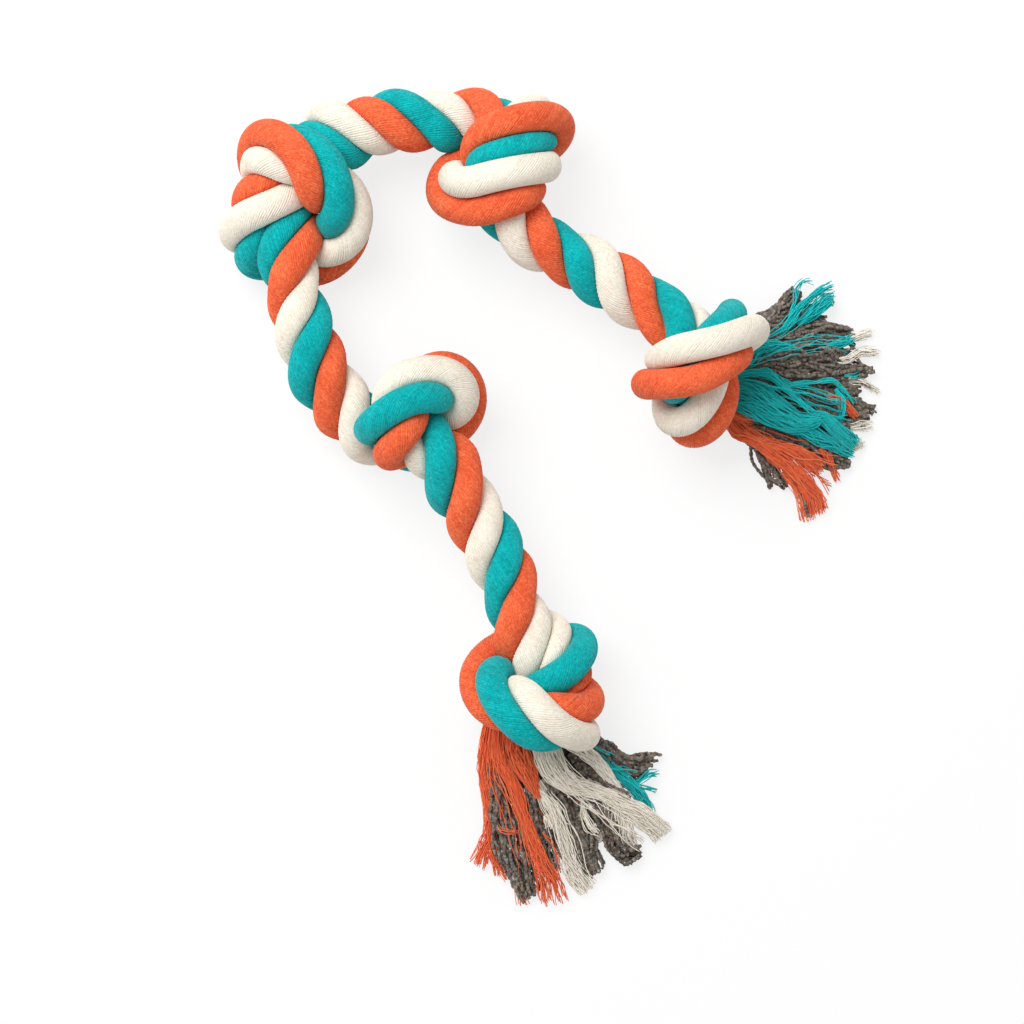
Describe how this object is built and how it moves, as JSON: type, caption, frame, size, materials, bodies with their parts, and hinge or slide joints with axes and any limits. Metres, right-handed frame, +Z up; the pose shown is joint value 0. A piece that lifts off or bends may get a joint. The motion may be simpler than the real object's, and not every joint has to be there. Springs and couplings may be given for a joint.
{
  "type": "rope dog toy",
  "caption": "Thick laid cotton tug rope for a dog, tied in overhand knots along its length, with frayed tassel ends.",
  "frame": {"origin": "centre of the footprint, on the floor under the knots", "axes": "+Z up from the floor; the rope lies along the XY plane, with its first knot towards -Y and the middle knot towards -X"},
  "size_m": [0.4, 0.4994, 0.1114],
  "materials": {
    "cream_cotton": "matt spun cotton",
    "orange_cotton": "matt spun cotton",
    "teal_cotton": "matt spun cotton",
    "core_yarn": "fuzzy two-ply yarn"
  },
  "bodies": {
    "knot_1": {"knot_1_cream": "cream_cotton", "knot_1_orange": "orange_cotton", "knot_1_teal": "teal_cotton"},
    "knot_2": {"knot_2_cream": "cream_cotton", "knot_2_orange": "orange_cotton", "knot_2_teal": "teal_cotton"},
    "knot_3": {"knot_3_cream": "cream_cotton", "knot_3_orange": "orange_cotton", "knot_3_teal": "teal_cotton"},
    "knot_4": {"knot_4_cream": "cream_cotton", "knot_4_orange": "orange_cotton", "knot_4_teal": "teal_cotton"},
    "knot_5": {"knot_5_cream": "cream_cotton", "knot_5_orange": "orange_cotton", "knot_5_teal": "teal_cotton"},
    "span_12": {"span_12_cream": "cream_cotton", "span_12_orange": "orange_cotton", "span_12_teal": "teal_cotton"},
    "span_23": {"span_23_cream": "cream_cotton", "span_23_orange": "orange_cotton", "span_23_teal": "teal_cotton"},
    "span_34": {"span_34_cream": "cream_cotton", "span_34_orange": "orange_cotton", "span_34_teal": "teal_cotton"},
    "span_45": {"span_45_cream": "cream_cotton", "span_45_orange": "orange_cotton", "span_45_teal": "teal_cotton"},
    "tassel_1": {"tassel_1_core_left": "core_yarn", "tassel_1_core_mid": "core_yarn", "tassel_1_core_right": "core_yarn", "tassel_1_core_edge": "core_yarn", "tassel_1_orange_left": "orange_cotton", "tassel_1_orange_mid": "orange_cotton", "tassel_1_cream_right": "cream_cotton", "tassel_1_cream_mid": "cream_cotton", "tassel_1_teal_right": "teal_cotton"},
    "tassel_5": {"tassel_5_core_top": "core_yarn", "tassel_5_core_upper": "core_yarn", "tassel_5_core_lower": "core_yarn", "tassel_5_core_low": "core_yarn", "tassel_5_teal_top": "teal_cotton", "tassel_5_teal_mid": "teal_cotton", "tassel_5_teal_upper": "teal_cotton", "tassel_5_orange_low": "orange_cotton", "tassel_5_cream_far": "cream_cotton"}
  },
  "joints": [
    {"name": "span_23_swing", "type": "hinge", "parent": "knot_3", "child": "span_23", "pos_m": [-0.15247, 0.11461, 0.03935], "axis": [0, 0, 1], "range_deg": [-30, 20]},
    {"name": "knot_2_lift", "type": "hinge", "parent": "span_23", "child": "knot_2", "pos_m": [-0.14055, 0.07769, 0.03436], "axis": [-0.9516, -0.3072, 0], "range_deg": [0, 30]},
    {"name": "span_12_swing", "type": "hinge", "parent": "knot_2", "child": "span_12", "pos_m": [-0.05598, 0.00868, 0.04646], "axis": [0, 0, 1], "range_deg": [-30, 30]},
    {"name": "knot_1_lift", "type": "hinge", "parent": "span_12", "child": "knot_1", "pos_m": [-0.02968, -0.03982, 0.0369], "axis": [-0.8791, -0.4766, 0], "range_deg": [0, 30]},
    {"name": "tassel_1_swing", "type": "hinge", "parent": "knot_1", "child": "tassel_1", "pos_m": [-0.00411, -0.15973, 0.02754], "axis": [0, 0, 1], "range_deg": [-20, 20]},
    {"name": "span_34_swing", "type": "hinge", "parent": "knot_3", "child": "span_34", "pos_m": [-0.11014, 0.22933, 0.03751], "axis": [0, 0, 1], "range_deg": [-15, 30]},
    {"name": "knot_4_lift", "type": "hinge", "parent": "span_34", "child": "knot_4", "pos_m": [-0.08966, 0.23237, 0.03783], "axis": [0.147, -0.9891, 0], "range_deg": [0, 30]},
    {"name": "span_45_swing", "type": "hinge", "parent": "knot_4", "child": "span_45", "pos_m": [0.01863, 0.14557, 0.03809], "axis": [0, 0, 1], "range_deg": [-30, 30]},
    {"name": "knot_5_lift", "type": "hinge", "parent": "span_45", "child": "knot_5", "pos_m": [0.04772, 0.12717, 0.03711], "axis": [-0.5345, -0.8451, 0], "range_deg": [0, 30]},
    {"name": "tassel_5_swing", "type": "hinge", "parent": "knot_5", "child": "tassel_5", "pos_m": [0.13811, 0.07669, 0.02394], "axis": [0, 0, 1], "range_deg": [-4, 20]}
  ]
}
